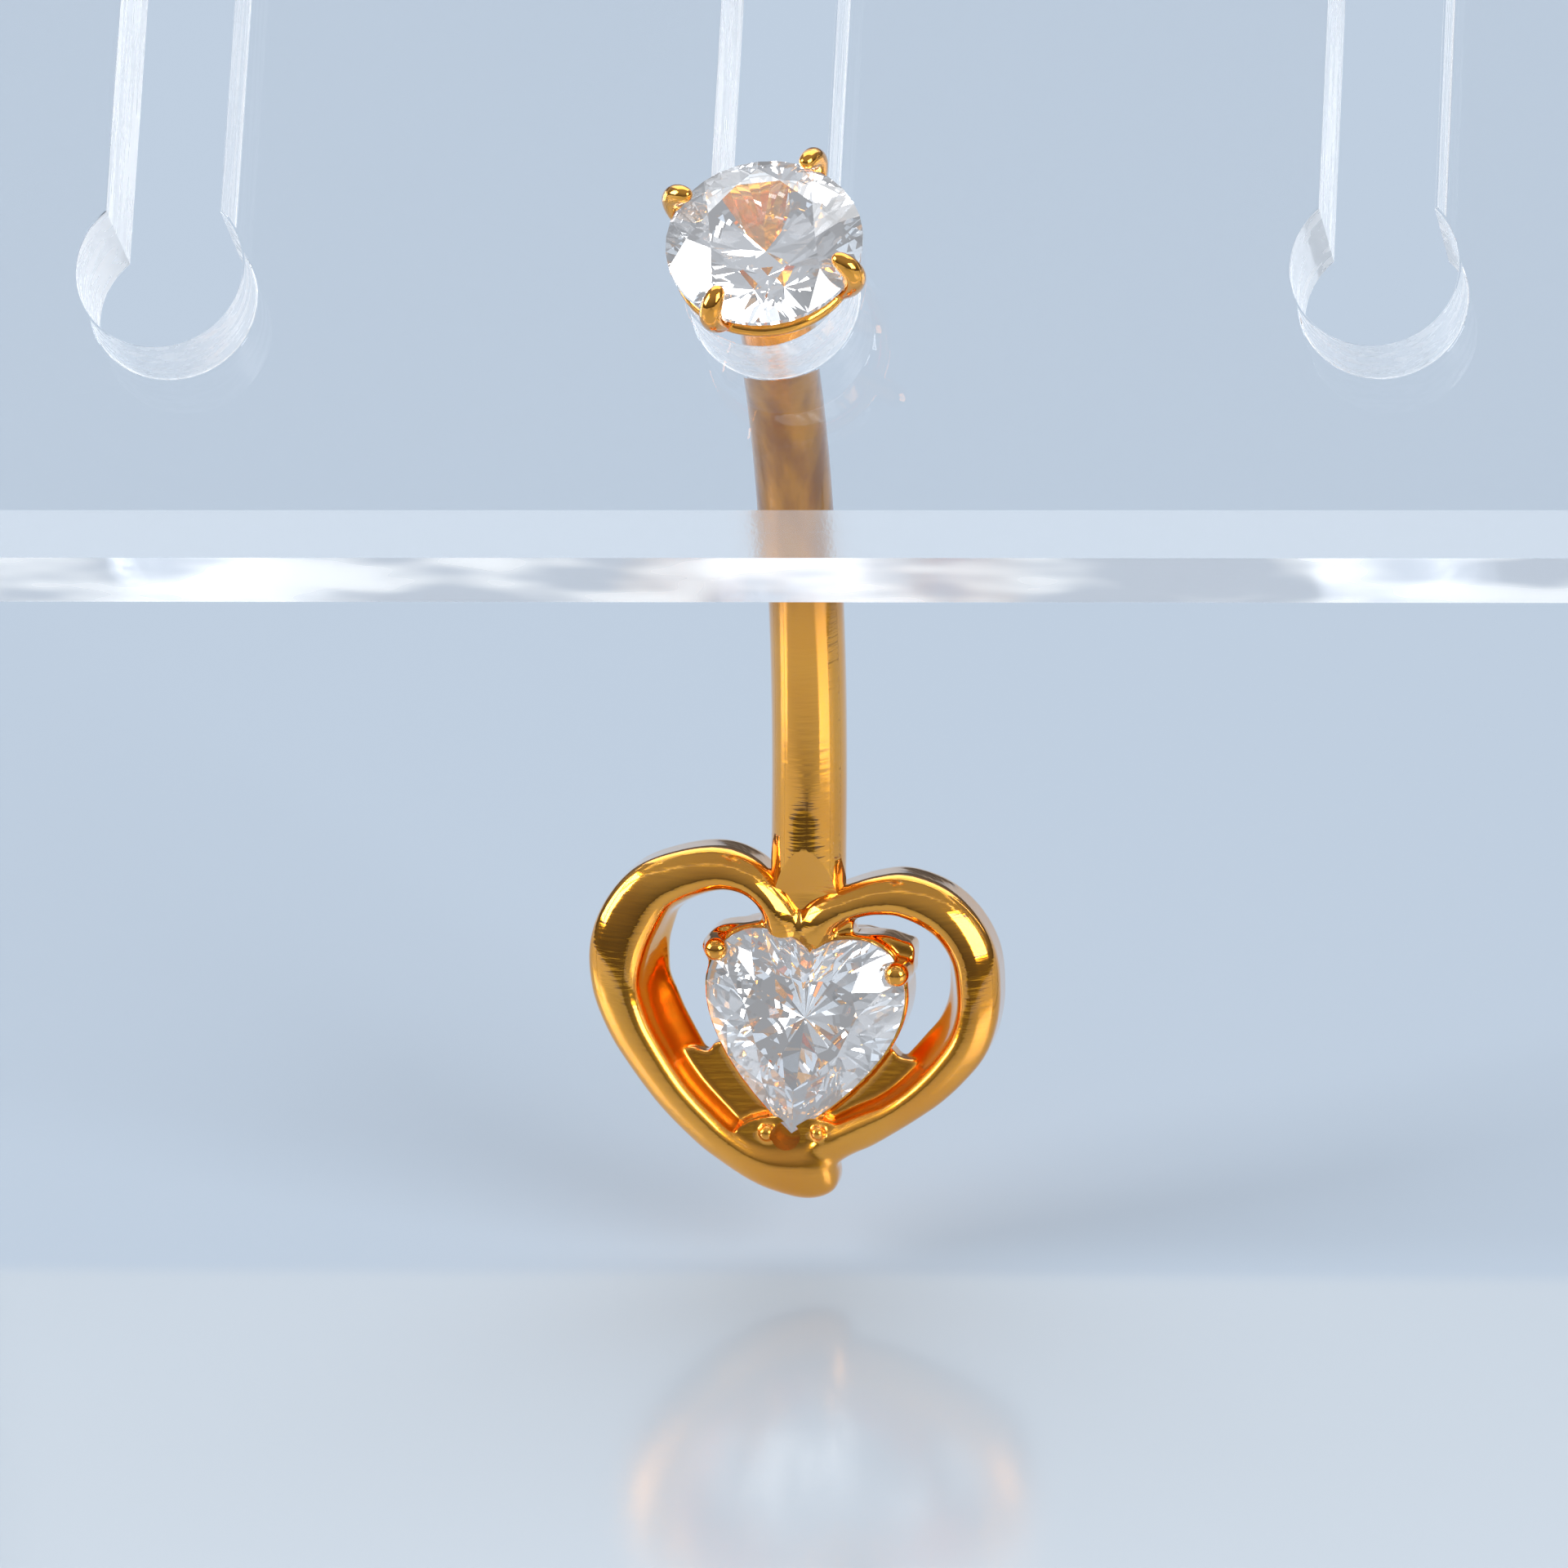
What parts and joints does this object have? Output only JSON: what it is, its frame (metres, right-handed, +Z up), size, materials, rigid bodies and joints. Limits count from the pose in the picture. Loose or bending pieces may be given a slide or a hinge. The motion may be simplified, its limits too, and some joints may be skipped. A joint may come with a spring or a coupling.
{
  "type": "navel ring on display stand",
  "caption": "Curved gold barbell with a round stone on top and an open heart charm below, hung in a clear slanted display stand.",
  "frame": {"origin": "middle of the stand's foot print, on the surface it stands on", "axes": "+Z up, the stand's face and the heart towards -Y, +X to the right as seen from the front"},
  "size_m": [0.0484, 0.0184, 0.0359],
  "materials": {
    "gold": "polished yellow gold plate",
    "clear_stone": "polished facets",
    "clear_acrylic": "clear, polished, with a sawn bevel"
  },
  "bodies": {
    "root": {"bar_and_heart": "gold", "heart_stone": "clear_stone", "top_setting": "gold", "top_stone": "clear_stone", "slanted_panel": "clear_acrylic", "left_cheek": "clear_acrylic", "right_cheek": "clear_acrylic"}
  },
  "joints": []
}
